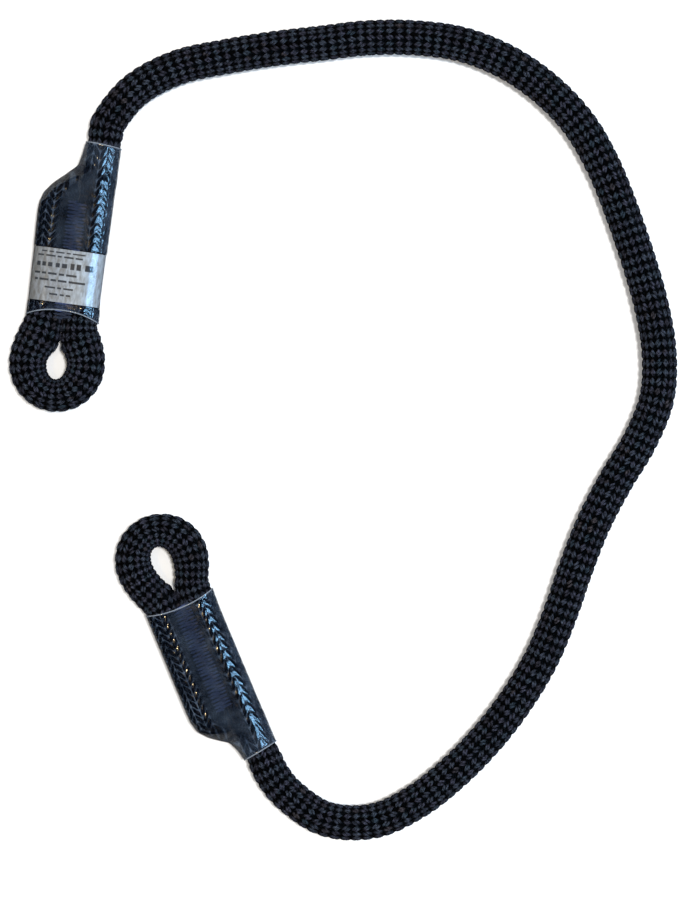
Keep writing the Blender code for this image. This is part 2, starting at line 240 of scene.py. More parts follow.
class Line:
    """A centre line that can be read by distance, with its section's half sizes."""

    def __init__(self, points, width, height):
        self.points = points
        self.along = lengths_along(points)
        self.length = self.along[-1]
        self.width = width
        self.height = height
        self.twist = self.along / LEAD

    def tighten(self, first, last):
        """Makes the braid finer before the first distance and after the last, in the eyes."""
        before, after = first - self.along, self.along - last
        fine = smoothstep(before / TIGHTEN_OVER) + smoothstep(after / TIGHTEN_OVER)
        turns = 1 / LEAD + fine * (1 / EYE_LEAD - 1 / LEAD)
        steps = np.diff(self.along) * (turns[1:] + turns[:-1]) / 2
        self.twist = np.concatenate(([0.0], np.cumsum(steps)))

    def read(self, values, s):
        if values.ndim == 1:
            return np.interp(s, self.along, values)
        return np.stack([np.interp(s, self.along, v) for v in values.T], axis=-1)

    def at(self, s):
        return self.read(self.points, s)

    def frame_at(self, s, reach=0.0012):
        """(centre, left, over, direction, half width, half height) at each distance."""
        ahead = np.minimum(s + reach, self.length)
        behind = np.maximum(s - reach, 0.0)
        direction = unit(self.at(ahead) - self.at(behind))
        left = unit(np.cross(UP, direction))
        over = np.cross(direction, left)
        sizes = self.read(self.width, s), self.read(self.height, s)
        return self.at(s), left, over, direction, *sizes


def free_line():
    """The free rope between the two sleeves' mouths."""
    line = catmull_rom([(x - OUTLINE_MIDDLE[0], y - OUTLINE_MIDDLE[1]) for x, y in ROUTE])
    along = lengths_along(line)
    from_sleeve = np.minimum(along, along[-1] - along) - SETTLE_START
    drop = smoothstep(from_sleeve / SETTLE_LENGTH) * (AXIS_HEIGHT - ROPE_RADIUS)
    points = np.column_stack((line, AXIS_HEIGHT - drop))
    sizes = np.full(len(points), ROPE_RADIUS)
    return Line(points, sizes, sizes)


def leg_radius_at(end, along):
    outside = smoothstep(-along / 0.006) * (ROPE_RADIUS - NECK_RADIUS)
    inside = smoothstep((along - end["neck_end"]) / 0.008) * (LEG_RADIUS - NECK_RADIUS)
    return NECK_RADIUS + np.where(along < 0, outside, inside)


def reach_at(end, along):
    """How far the sleeve reaches from the standing leg's axis, on the tail's side."""
    fine = np.linspace(-0.004, 0.12, 1241)
    places, reaches = np.array(end["reach"]).T
    window = np.hanning(25)
    values = np.pad(np.interp(fine, places, reaches), 12, mode="edge")
    return np.interp(along, fine, np.convolve(values, window / window.sum(), "valid"))


def standing_squeeze(end, along):
    """Where the standing leg's outer side is pressed in a little, from 0 to 1."""
    begun = smoothstep((along - end["neck_end"]) / 0.010)
    return begun * (1 - smoothstep((along - end["sleeve_length"]) / 0.012 + 1))


def leg_line(end, tail):
    """One leg, up to the eye's centre: [along, towards the other leg, half width, half height]."""
    half = LEG_SPACING / 2
    sleeve_end = end["sleeve_length"]
    throat = sleeve_end + end["throat"]
    centre = sleeve_end + end["eye_centre"]
    near = end["tail_end"] + SEAL_THICKNESS if tail else -BEND_TO_SLEEVE
    along = np.linspace(near, centre, 320, endpoint=False)
    ready = np.clip((along - throat) / (centre - throat), 0, 1)
    opening = (1 - (1 - ready) ** end["opening"]) * smoothstep(ready / 0.12)
    begin = sleeve_end + end["flare"][1 if tail else 0]
    begun = np.clip((along - begin) / (centre - begin), 0, 1)
    flare = np.sin(math.pi / 2 * begun) ** 1.4
    if tail:
        taper = smoothstep((along - near) / TAIL_TAPER)
        radius = TAIL_RADIUS + taper * (LEG_RADIUS - TAIL_RADIUS)
        side = reach_at(end, along) - LEG_SPACING - SLEEVE_WALL - SLEEVE_ROOM
        side = TAIL_RADIUS + taper * (side - TAIL_RADIUS)
    else:
        radius = leg_radius_at(end, along)
        side = radius - LEG_SQUEEZE * standing_squeeze(end, along)
    shift = end["eye_shift"] * opening * (1 if tail else -1)
    pressed = radius + LEGS_PRESSED * smoothstep((along - sleeve_end) / 0.02 + 1)
    inside = pressed + opening * (half - end["eye_half"] + end["eye_side"] - pressed)
    outside = side + flare * (end["eye_half"] - half + end["eye_side"] - side)
    tall = radius + opening * (EYE_RADIUS - LEG_RADIUS)
    return [along, (inside - outside) / 2 - shift, (inside + outside) / 2, tall]


def end_line(end):
    """One sewn end, from its bend's axis round the eye to the tail's cut.

    Returns [along, across, half width, half height] in the end's own measures.
    """
    turn = np.linspace(0, math.pi, 121)
    eye = [
        end["sleeve_length"] + end["eye_centre"] + end["eye_reach"] * np.sin(turn),
        LEG_SPACING / 2 + end["eye_shift"] - end["eye_half"] * np.cos(turn),
        end["eye_side"] - (end["eye_side"] - EYE_FAR) * np.sin(turn) ** 2,
        np.full(len(turn), EYE_RADIUS),
    ]
    standing, tail = leg_line(end, False), leg_line(end, True)
    tail[1] = LEG_SPACING - tail[1]
    return [np.concatenate((a, b, c[::-1])) for a, b, c in zip(standing, eye, tail)]


def end_to_world(end, along, across, height):
    """Points of a sewn end in the frame; along runs from the mouth to the eye."""
    x, y = unit(np.array(end["towards_eye"]))
    side = across * end["tail_side"]
    ahead = BEND_TO_SLEEVE + along
    east = end["bend"][0] + x * ahead - y * side
    north = end["bend"][1] + y * ahead + x * side
    return np.stack((east, north, AXIS_HEIGHT + height), axis=-1)


def whole_line():
    """(the rope from tail to tail, the bends' distances along it, the mid-spans' distances)"""
    route = free_line()
    ENDS["labelled_end"]["bend"] = route.at(BEND_TO_SLEEVE)
    ENDS["plain_end"]["bend"] = route.at(route.length - BEND_TO_SLEEVE)
    parts = {}
    for name, end in ENDS.items():
        along, across, width, height = end_line(end)
        parts[name] = [end_to_world(end, along, across, along * 0), width, height]
    first = [values[::-1] for values in parts["labelled_end"]]
    last = [values[1:] for values in parts["plain_end"]]
    inside = (route.along > BEND_TO_SLEEVE) & (route.along < route.length - BEND_TO_SLEEVE)
    middle = [values[inside] for values in (route.points, route.width, route.height)]
    joined = [np.concatenate(values) for values in zip(first, middle, last)]
    line = Line(*joined)
    labelled_bend = lengths_along(first[0])[-1]
    plain_bend = line.length - lengths_along(parts["plain_end"][0])[-1]
    bends = np.linspace(labelled_bend, plain_bend, SPAN_COUNT + 1)
    even = np.linspace(0, line.length, int(line.length / 0.0005))
    smooth = [line.read(values, even) for values in joined]
    smooth[0] = soften(smooth[0])
    line = Line(*smooth)
    to_eyes = BEND_TO_SLEEVE + TIGHTEN_AT
    line.tighten(bends[0] - to_eyes, bends[-1] + to_eyes)
    return line, bends, (bends[:-1] + bends[1:]) / 2


def soften(points, reach=6):
    """The line with its small corners rounded, and its two ends where they were."""
    weights = np.hanning(2 * reach + 1)[1:-1]
    weights /= weights.sum()
    pad = len(weights) // 2
    rounded = points.copy()
    for axis in range(3):
        rounded[pad:-pad, axis] = np.convolve(points[:, axis], weights, mode="valid")
    return rounded


# ---- meshes


def add_object(name, data):
    made = bpy.data.objects.new(name, data)
    bpy.context.scene.collection.objects.link(made)
    return made


def make_piece(name, points, faces, material):
    """A smooth mesh from points and one array of faces for each number of corners."""
    mesh = bpy.data.meshes.new(name)
    mesh.vertices.add(len(points))
    mesh.vertices.foreach_set("co", np.asarray(points, np.float32).ravel())
    corners = np.concatenate([f.ravel() for f in faces])
    totals = np.concatenate([np.full(len(f), f.shape[1]) for f in faces])
    starts = np.concatenate(([0], np.cumsum(totals)[:-1]))
    mesh.loops.add(len(corners))
    mesh.loops.foreach_set("vertex_index", corners.astype(np.int32))
    mesh.polygons.add(len(totals))
    mesh.polygons.foreach_set("loop_start", starts.astype(np.int32))
    mesh.update(calc_edges=True)
    mesh.shade_smooth()
    mesh.materials.append(material)
    return add_object(name, mesh)


def corner_map(piece, name, values):
    """A two-number attribute with one value for each corner of each face."""
    layer = piece.data.attributes.new(name, "FLOAT2", "CORNER")
    layer.data.foreach_set("vector", values.astype(np.float32).ravel())


def point_value(piece, name, values):
    layer = piece.data.attributes.new(name, "FLOAT", "POINT")
    layer.data.foreach_set("value", values.astype(np.float32).ravel())


def tube_faces(count, rings, sides):
    """Quads of count tubes of that many rings, and the two caps of each tube."""
    tube = np.arange(count)[:, None, None] * rings * sides
    place = np.arange(rings - 1)[None, :, None] * sides
    side = np.arange(sides)[None, None, :]
    beside = (side + 1) % sides
    near, next_near = tube + place + side, tube + place + beside
    quads = np.stack((near, next_near, next_near + sides, near + sides), axis=-1)
    first = tube[:, 0, :] + np.arange(sides)[None, ::-1]
    last = tube[:, 0, :] + (rings - 1) * sides + np.arange(sides)[None, :]
    return quads.reshape(-1, 4), np.concatenate((first, last))


def shell_faces(rows, sides):
    """Quads that join rings into a closed shell, each to the next and the last to the first."""
    near = np.arange(rows)[:, None] * sides
    far = np.roll(near, -1, axis=0)
    side = np.arange(sides)
    beside = (side + 1) % sides
    quads = np.stack((near + side, near + beside, far + beside, far + side), axis=-1)
    return quads.reshape(-1, 4)


def map_tubes(piece, name, reach, count):
    """Gives each corner of count tubes its reach along the tube and its share of the way round."""
    u = np.stack((reach[:-1], reach[:-1], reach[1:], reach[1:]), axis=-1)[:, None]
    v = (np.arange(YARN_SIDES)[:, None] + np.array((0, 1, 1, 0)))[None] / YARN_SIDES
    one = np.stack(np.broadcast_arrays(u, v), axis=-1).reshape(-1, 2)
    corners = np.zeros((len(piece.data.loops), 2))
    corners[: count * len(one)] = np.tile(one, (count, 1))
    corner_map(piece, name, corners)


def tubes(centres, across, over, half_width, half_height, sides):
    """Ring points of tubes: centres and frames are (count, rings, 3)."""
    turn = 2 * math.pi * (np.arange(sides) + 0.5) / sides
    cosine = np.cos(turn)[None, None, :, None] * half_width[:, :, None, None]
    sine = np.sin(turn)[None, None, :, None] * half_height[:, :, None, None]
    return centres[:, :, None, :] + across[:, :, None] * cosine + over[:, :, None] * sine


# ---- braid


def yarn_family():
    """(way, angle, place beside the carrier's middle) of each of the 64 yarns."""
    spacing = 2 * math.pi / CARRIERS
    rows = [
        (way, spacing * carrier + (spacing / 2 if way < 0 else 0), spacing * YARN_PLACE * side)
        for way in (1, -1)
        for carrier in range(CARRIERS)
        for side in (-1, 1)
    ]
    return np.array(rows).T


YARN_PHASE = random.uniform(0, 2 * math.pi, (3, 4 * CARRIERS))  # the third row is spare
TINTS = random.uniform(0, 1, 1021)


def braid_points(line, s, cut):
    """Ring points of all yarns at the distances s, how proud each is (-1 to 1), and its tint."""
    way, angle, beside = (values[:, None] for values in yarn_family())
    centre, left, over, direction, width, height = line.frame_at(s)
    wander = WANDER * np.sin(2 * math.pi * s / WANDER_LENGTH + YARN_PHASE[0][:, None])
    turn = way * 2 * math.pi * line.read(line.twist, s) + angle + beside + wander
    wave = CARRIERS / 2 * (turn - beside / 2) - math.pi / 4
    crown = np.cos(wave) * way
    proud = crown * (0.62 + 0.38 * crown**2)
    middle = ROPE_RADIUS - CROWN_LIFT - YARN_THICKNESS / 2
    uneven = UNEVENNESS * np.sin(2 * math.pi * s / UNEVEN_LENGTH + YARN_PHASE[1][:, None])
    radius = (middle + CROWN_LIFT * proud + uneven) / ROPE_RADIUS
    cosine, sine = np.cos(turn)[..., None], np.sin(turn)[..., None]
    outward = left * cosine + over * sine
    sides = left * (cosine * width[:, None]) + over * (sine * height[:, None])
    points = centre + radius[..., None] * sides
    points = points + direction * cut(s, radius * width * cosine[..., 0])[..., None]
    ahead = unit(np.gradient(points, axis=1))
    across = unit(np.cross(ahead, outward))
    upward = np.cross(across, ahead)
    number = np.floor(wave / (2 * math.pi) + 0.5)
    carrier = np.arange(len(turn))[:, None] // 2
    tint = TINTS[(number * 61 + carrier * 197).astype(int) % len(TINTS)]
    shrink = 0.78 + 0.22 * np.clip(proud, 0, 1)
    half_width = YARN_WIDTH / 2 * shrink * (width / ROPE_RADIUS)
    half_height = YARN_THICKNESS / 2 * (0.94 + 0.06 * proud)
    rings = tubes(points, across, upward, half_width, half_height, YARN_SIDES)
    return rings, proud, tint


def no_cut(s, side):
    """For rope that isn't cut here: no point beside the centre line moves along it."""
    return side * 0


def add_braid(name, line, start, end, step, material, cut=no_cut):
    """The braided cover from start to end, over a thin lining painted black as the shade between
    the yarns.
    """
    s = np.linspace(start, end, int((end - start) / step) + 2)
    rings, proud, tint = braid_points(line, s, cut)
    quads, caps = tube_faces(*rings.shape[:2], YARN_SIDES)
    lining, lining_quads = lining_points(line, start, end, cut)
    lining_quads = lining_quads + rings[..., 0].size
    points = np.concatenate((rings.reshape(-1, 3), lining))
    piece = make_piece(name, points, (quads, lining_quads, caps), material)
    # The lining's proud of -1 makes the cover's material paint it black, as shade between the
    # yarns.
    for label, values, ground in (("tint", tint, 0.5), ("proud", proud, -1.0)):
        on_yarns = np.repeat(values.reshape(-1), YARN_SIDES)
        point_value(piece, label, np.concatenate((on_yarns, np.full(len(lining), ground))))
    map_tubes(piece, "yarn", s / YARN_SLOPE * 1000, len(rings))
    return piece


def lining_points(line, start, end, cut):
    """The cover's inside, painted black as the shade that shows between the yarns: points and
    quads.
    """
    s = np.linspace(start, end, int((end - start) / LINING_STEP) + 2)
    centre, left, over, direction, width, height = line.frame_at(s)
    turn = np.linspace(0, 2 * math.pi, 24, endpoint=False)
    walls = []
    for radius in LINING_RADII:
        side = np.cos(turn)[None] * (width * radius / ROPE_RADIUS)[:, None]
        top = np.sin(turn)[None] * (height * radius / ROPE_RADIUS)[:, None]
        points = centre[:, None] + left[:, None] * side[..., None]
        points = points + over[:, None] * top[..., None]
        walls.append(points + direction[:, None] * cut(s[:, None], side)[..., None])
    loops = np.concatenate((walls[0], walls[1][::-1]))
    return loops.reshape(-1, 3), shell_faces(*loops.shape[:2])


def add_core(name, line, start, end, material, cut=no_cut):
    """The braided core, inside the cover."""
    s = np.linspace(start, end, int((end - start) / CORE_STEP) + 2)
    centre, left, over, direction, width, height = line.frame_at(s)
    sides = 16
    wide, tall = (width * CORE_SHARE)[None], (height * CORE_SHARE)[None]
    rings = tubes(centre[None], left[None], over[None], wide, tall, sides)
    side = ((rings - centre[None, :, None]) * left[None, :, None]).sum(axis=-1)
    rings = rings + direction[None, :, None] * cut(s[None, :, None], side)[..., None]
    quads, caps = tube_faces(1, len(s), sides)
    return make_piece(name, rings.reshape(-1, 3), (quads, caps), material)


# ---- materials


class Look:
    """A material whose Principled shader is fed by procedural nodes."""

    def __init__(self, name, colour, roughness):
        self.material = bpy.data.materials.new(name)
        self.material.use_nodes = True
        self.material.diffuse_color = (*colour, 1)
        self.tree = self.material.node_tree
        self.set({"Base Color": colour, "Roughness": roughness})

    def set(self, inputs, node=None):
        """Gives inputs of a node, or else of the shader, a value or another node's output."""
        if node is None:
            node = self.tree.nodes["Principled BSDF"]
        for name, value in inputs.items():
            socket = node.inputs[name]
            if isinstance(value, bpy.types.NodeSocket):
                self.tree.links.new(value, socket)
            else:
                socket.default_value = (*value, 1) if socket.type == "RGBA" else value

    def node(self, kind, output, inputs, **settings):
        """One output of a new node."""
        node = self.tree.nodes.new("ShaderNode" + kind)
        for name, value in settings.items():
            setattr(node, name, value)
        self.set(inputs, node)
        return node.outputs[output]

    def attribute(self, name, output="Fac"):
        return self.node("Attribute", output, {}, attribute_name=name)

    def place(self):
        return self.node("TexCoord", "Object", {})

    def ramp(self, value, *stops):
        """A colour ramp through (position, colour) stops."""
        node = self.tree.nodes.new("ShaderNodeValToRGB")
        elements = node.color_ramp.elements
        while len(elements) < len(stops):
            elements.new(0.5)
        for element, (position, colour) in zip(elements, stops):
            element.position = position
            element.color = (*colour, 1)
        self.set({"Fac": value}, node)
        return node.outputs["Color"]

    def map_range(self, value, source, target):
        inputs = {"Value": value, "From Min": source[0], "From Max": source[1]}
        inputs.update({"To Min": target[0], "To Max": target[1]})
        return self.node("MapRange", "Result", inputs, interpolation_type="SMOOTHSTEP")

    def mix(self, kind, factor, first, second):
        inputs = {0: factor, 6: first, 7: second}
        return self.node("Mix", 2, inputs, data_type="RGBA", blend_type=kind)

    def noise(self, vector, scale, detail=2.0, kind="3D"):
        inputs = {"Vector": vector, "Scale": scale, "Detail": detail}
        return self.node("TexNoise", "Fac", inputs, noise_dimensions=kind)

    def stretched(self, vector, scale, turn=0.0):
        return self.node(
            "Mapping", "Vector", {"Vector": vector, "Scale": scale, "Rotation": (0, 0, turn)}
        )

    def bump(self, height, strength, distance):
        inputs = {"Height": height, "Strength": strength, "Distance": distance}
        self.set({"Normal": self.node("Bump", "Normal", inputs)})


def yarn_material():
    """Charcoal polyester yarn: fine fibres with a slight twist, and painted shade that turns it
    black where it dips.
    """
    look = Look("braided_cover", (0.03, 0.03, 0.04), 0.5)
    place = look.stretched(look.attribute("yarn", "Vector"), (0.9, 14, 1), 0.05)
    fibres = look.noise(place, 1.0, kind="2D")
    colour = look.ramp(fibres, (0.39, (0.003, 0.004, 0.005)), (0.66, (0.063, 0.068, 0.088)))
    hue = look.ramp(
        look.attribute("tint"), (0.0, (1.0, 0.80, 0.70)), (0.07, (0.50, 0.46, 0.52)),
        (0.28, (0.95, 0.92, 1.10)), (0.48, (0.55, 0.60, 0.70)), (0.74, (1.0, 1.10, 1.20)),
        (1.0, (0.50, 0.72, 0.80)),
    )
    colour = look.mix("MULTIPLY", 1.0, colour, hue)
    # Painted shade: the colour fades to black where a yarn dips under its neighbours, and only the
    # crowns' tops keep it.
    proud = look.map_range(look.attribute("proud"), (0.42, 0.97), (0.02, 1.0))
    look.set({
        "Base Color": look.mix("MULTIPLY", 1.0, colour, proud),
        "Roughness": look.map_range(fibres, (0.2, 0.8), (0.70, 0.50)),
        "Specular IOR Level": 0.12,
        "Sheen Weight": 0.02,
        "Sheen Roughness": 0.4,
        "Sheen Tint": (0.75, 0.8, 1.0),
    })
    look.bump(fibres, 0.5, 0.00012)
    return look.material


def core_material():
    """Undyed braid, which stays inside the cover."""
    look = Look("braided_core", (0.60, 0.60, 0.58), 0.8)
    weave = look.node("TexVoronoi", "Distance", {"Scale": 420.0})
    colour = look.ramp(weave, (0.0, (0.66, 0.66, 0.64)), (1.0, (0.48, 0.48, 0.46)))
    look.set({"Base Color": colour})
    look.bump(weave, 1.0, 0.0004)
    return look.material


def thread_material():
    """Navy polyester thread with a little shine, and painted shade where it is bare of film, past
    the mouth.
    """
    look = Look("sewing_thread", (0.03, 0.06, 0.20), 0.45)
    place = look.stretched(look.attribute("thread", "Vector"), (1.1, 9, 1), 0.5)
    fibres = look.noise(place, 1.0, kind="2D")
    colour = look.ramp(fibres, (0.25, (0.010, 0.018, 0.055)), (0.75, (0.115, 0.170, 0.41)))
    # Painted shade: the thread is darkened past the film's mouth, where little light reaches it.
    shaded = look.mix("MULTIPLY", 1.0, colour, (0.24, 0.22, 0.16))
    look.set({
        "Base Color": look.mix("MIX", look.attribute("bare"), colour, shaded),
        "Sheen Weight": 0.15,
        "Sheen Tint": (0.6, 0.7, 1.0),
    })
    look.bump(fibres, 0.6, 0.0001)
    return look.material


def seal_material():
    """Rope fibres melted into a hard, lumpy black skin."""
    look = Look("melted_rope_end", (0.01, 0.01, 0.012), 0.3)
    lumps = look.noise(look.place(), 900.0, 3.0)
    look.set({
        "Base Color": look.ramp(
            lumps, (0.3, (0.006, 0.006, 0.008)), (0.8, (0.04, 0.036, 0.034))
        ),
        "Roughness": look.map_range(lumps, (0.3, 0.7), (0.2, 0.5)),
    })
    look.bump(lumps, 0.6, 0.0005)
    return look.material


def sleeve_material():
    """Clear heat-shrunk film: glossy, dark where it grips the yarns and hazy where it doesn't,
    with a painted highlight along its cut edges.
    """
    look = Look("clear_sleeve", (0.10, 0.12, 0.15), 0.11)
    place = look.place()
    cloud = look.noise(place, 190.0, 3.0)
    haze = look.ramp(cloud, (0.30, (0.035, 0.058, 0.100)), (0.75, (0.19, 0.26, 0.37)))
    colour = look.mix("MIX", look.attribute("milk"), (0.002, 0.004, 0.009), haze)
    wrinkles = look.noise(place, 620.0, 2.0)
    look.set({
        # The pale rim colour is a painted highlight: light caught by the film's cut edges.
        "Base Color": look.mix("MIX", look.attribute("rim"), colour, (0.28, 0.32, 0.38)),
        "Alpha": look.attribute("film"),
        "Roughness": look.map_range(wrinkles, (0.3, 0.7), (0.08, 0.20)),
        "IOR": 2.3,
        "Coat Weight": 0.6,
        "Coat Roughness": 0.05,
    })
    look.bump(wrinkles, 0.30, 0.00025)
    look.material.diffuse_color = (0.8, 0.84, 0.9, 0.4)
    return look.material


def label_material():
    """Silver film with rows of plain printed bars, and painted light across it: bluer and brighter
    on the window's side, tan on the other.
    """
    look = Look("label_film", (0.7, 0.72, 0.76), 0.35)
    place = look.attribute("sheet", "Vector")
    satin = look.noise(look.stretched(place, (14, 2.6, 1)), 2.4, 3.0, "2D")
    silver = look.ramp(satin, (0.3, (0.27, 0.27, 0.265)), (0.7, (0.44, 0.48, 0.53)))
    # Painted light: darker and tan at one side, with a bright blue-white painted highlight towards
    # the window's side.
    side = look.ramp(
        look.node("SeparateXYZ", "X", {"Vector": place}), (0.10, (0.66, 0.64, 0.60)),
        (0.45, (0.95, 0.96, 0.97)), (0.72, (1.25, 1.38, 1.50)), (0.95, (1.0, 1.1, 1.2)),
    )
    silver = look.mix("MULTIPLY", 1.0, silver, side)
    look.set({
        "Base Color": look.mix("MIX", look.attribute("ink"), silver, (0.05, 0.055, 0.065)),
        "Roughness": look.map_range(satin, (0.2, 0.8), (0.42, 0.28)),
        "Metallic": 0.15,
        "Coat Weight": 1.0,
        "Coat Roughness": 0.14,
    })
    look.bump(satin, 0.15, 0.0004)
    return look.material


# ---- the rope's pieces


def end_cut(line, end, at_start):
    """How far the tail's slanted cut moves a point that is beside the centre line."""
    lean = end["tail_slant"] * end["tail_side"]

    def cut(s, side):
        from_cut = s if at_start else line.length - s
        share = smoothstep(1 - from_cut / CUT_EASING)
        return lean * side * share

    return cut


def declare_cord(line, start, end):
    """Reads 41 points along the piece's centre line from start to end; nothing more is done with
    them.
    """
    places = np.linspace(start, end, 41)
    path = line.at(places)


def add_stretch(name, line, start, end, nodes, materials):
    """One stretch of free rope across one bend, cover and core."""
    cover = add_braid(f"rope_{name}", line, start, end, STEP, materials["cover"])
    core = add_core(f"core_{name}", line, start, end, materials["core"])
    for piece, kind in ((cover, "cover"), (core, "core")):
        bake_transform(piece)
        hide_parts(*[f"rope_{kind}_{number}" for number in nodes])
    declare_cord(line, start, end)


def add_free_rope(line, bends, middles, materials):
    """The stretches from each mid-span to the next, and from the outer two into the sleeves."""
    mouth = bends[0] - BEND_TO_SLEEVE
    ends = line.at(middles[0]), line.at(mouth)
    add_stretch(
        "labelled_end", line, mouth - JOIN, middles[0], (1,),
        materials,
    )
    for number in range(1, SPAN_COUNT):
        start, end = middles[number - 1], middles[number]
        ends = line.at(start), line.at(end)
        name = f"{number}_{number + 1}"
        nodes = (number, number + 1)
        add_stretch(name, line, start, end, nodes, materials)
    mouth = bends[-1] + BEND_TO_SLEEVE
    ends = line.at(middles[-1]), line.at(mouth)
    add_stretch(
        "plain_end", line, middles[-1], mouth + JOIN,
        (SPAN_COUNT,), materials,
    )


def add_eye_rope(name, line, start, end, materials, cut):
    """The rope of one sewn end, from where the free rope's piece meets it to the tail's cut."""
    cover = add_braid(f"{name}_eye", line, start, end, EYE_STEP, materials["cover"], cut)
    core = add_core(f"{name}_eye_core", line, start, end, materials["core"], cut)
    for piece, kind in ((cover, "cover"), (core, "core")):
        settle(piece, name, f"braided_{kind}", f"{name}_{kind}")


# ---- the sewn ends


def crown_value(twist, turn):
    """How much of a yarn's crown is at that twist and turn on the rope, from 0 to 1."""
    spacing = 2 * math.pi / CARRIERS
    column = np.cos(CARRIERS / 2 * turn - math.pi / 4)
    way = np.where(column > 0, 1, -1)
    base = np.where(way < 0, spacing / 2, 0)
    lane = (turn - way * 2 * math.pi * twist - base) / spacing
    lane = np.cos(math.pi * np.abs(lane - np.round(lane)))
    return np.abs(column) ** 0.5 * np.clip(lane, 0, 1) ** 0.6


class Sleeve:
    """The clear sleeve's surface, read at (along, across, height) of its own end."""

    def __init__(self, name, line, bends):
        self.end = ENDS[name]
        self.line = line
        self.first = name == "labelled_end"
        self.label = LABEL if self.first else None
        self.bend = bends[0] if self.first else bends[-1]

    def radius_at(self, u):
        share = smoothstep((u - self.end["neck_end"]) / 0.007)
        return NECK_OUTSIDE + share * (BODY_OUTSIDE - NECK_OUTSIDE)

    def outline(self, u):
        """Evenly spaced (across, height) points round the legs, with normals and the groove."""
        radius = float(self.radius_at(u))
        spread = max(float(reach_at(self.end, u)) - radius, 0.0)
        turn = np.linspace(math.pi, 3 * math.pi, 721)
        across = radius * np.cos(turn)
        height = radius * np.sin(turn)
        squeeze = 1 - FILM_SQUEEZE * standing_squeeze(self.end, u)
        across = np.where(np.cos(turn) > 1e-9, across + spread, across * squeeze)
        closed = np.column_stack((across, height))
        along = lengths_along(closed)
        even = np.linspace(0, along[-1], SLEEVE_SIDES, endpoint=False)
        points = np.stack([np.interp(even, along, v) for v in closed.T], axis=-1)
        ahead = np.roll(points, -1, axis=0) - np.roll(points, 1, axis=0)
        normals = unit(np.column_stack((ahead[:, 1], -ahead[:, 0])))
        share = np.clip(points[:, 0] / max(spread, 1e-6), 0, 1)
        dip = np.sin(math.pi * share) ** 1.5 * smoothstep(spread / 0.014)
        points[:, 1] -= np.sign(points[:, 1]) * SAG * dip
        return points, normals, dip

    def crowns(self, u, across, height):
        """How much of a yarn's crown is under each point of the film, from 0 to 1."""
        side = self.end["tail_side"]
        on_tail = across > LEG_SPACING / 2
        centre = np.where(on_tail, LEG_SPACING, 0.0)
        way = np.where(on_tail, 1, -1) * (1 if self.first else -1)
        turn = np.arctan2(height, (across - centre) * side * way)
        cut = self.end["tail_end"] + SEAL_THICKNESS
        standing = u + BEND_TO_SLEEVE
        if self.first:
            s = np.where(on_tail, u - cut, self.bend - standing)
        else:
            s = np.where(on_tail, self.line.length - (u - cut), self.bend + standing)
        return crown_value(self.line.read(self.line.twist, s), turn)

    def surface(self, offset=0.0):
        """Grids of points at a depth under the film's face, and what shapes the film there.

        Returns (along, across, height, crown, grip, edge): the crown under each point, how
        closely the film grips a leg, both from 0 to 1, and how far the nearer mouth is.
        """
        rows = np.linspace(0, 1, SLEEVE_ROWS)
        middle, tail_rim, standing_rim = self.end["rim"]
        sections = [self.outline(u) for u in rows * middle]
        points, normals, dip = (np.stack(grid) for grid in zip(*sections))
        across, height = points[..., 0], points[..., 1]
        side = (across - LEG_SPACING / 2) / (LEG_SPACING / 2 + BODY_OUTSIDE)
        rim = np.where(side > 0, tail_rim, standing_rim) * np.abs(side) ** 2.2
        along = (rows * middle)[:, None] + rim * smoothstep((rows - 0.55) / 0.45)[:, None]
        tilt = -self.end["mouth_tilt"] * across / NECK_OUTSIDE
        along = along + tilt * (1 - smoothstep(rows / 0.12))[:, None]
        crown = self.crowns(along, across, height)
        grip = 1 - smoothstep(dip / 0.30)
        hold = self.hold(along, grip)
        wrinkle = np.sin(along * 700 + across * 500) * np.sin(across * 600 - along * 350)
        proud = CROWN_HEIGHT * (crown - 0.5) * hold + WRINKLE_HEIGHT * wrinkle * (0.4 + 0.6 * hold)
        edge = np.minimum(rows, 1 - rows)[:, None] * middle + along * 0
        proud = proud * smoothstep(edge / 0.002)
        lip = LIP * (1 - smoothstep(edge / 0.0011))
        moved = points + normals * (proud + lip - offset)[..., None]
        return along, moved[..., 0], moved[..., 1], crown, grip, edge

    def covered(self, along):
        """Where the label is under the film, from 0 to 1."""
        if self.label is None:
            return along * 0
        start, end = self.label
        begun = smoothstep((along - start + 0.001) / 0.001)
        return begun * smoothstep((end + 0.001 - along) / 0.001)

    def hold(self, along, grip):
        """How closely the film follows the crowns: less where the label is between them."""
        return grip * (1 - LABEL_SMOOTHING * self.covered(along))

    def world(self, along, across, height):
        return end_to_world(self.end, along, across, height)


def settle(piece, body, slot, *nodes):
    """Fixes a piece to one body, in place of the CAD nodes. The slot is not used."""
    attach(piece, body)
    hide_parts(*nodes)


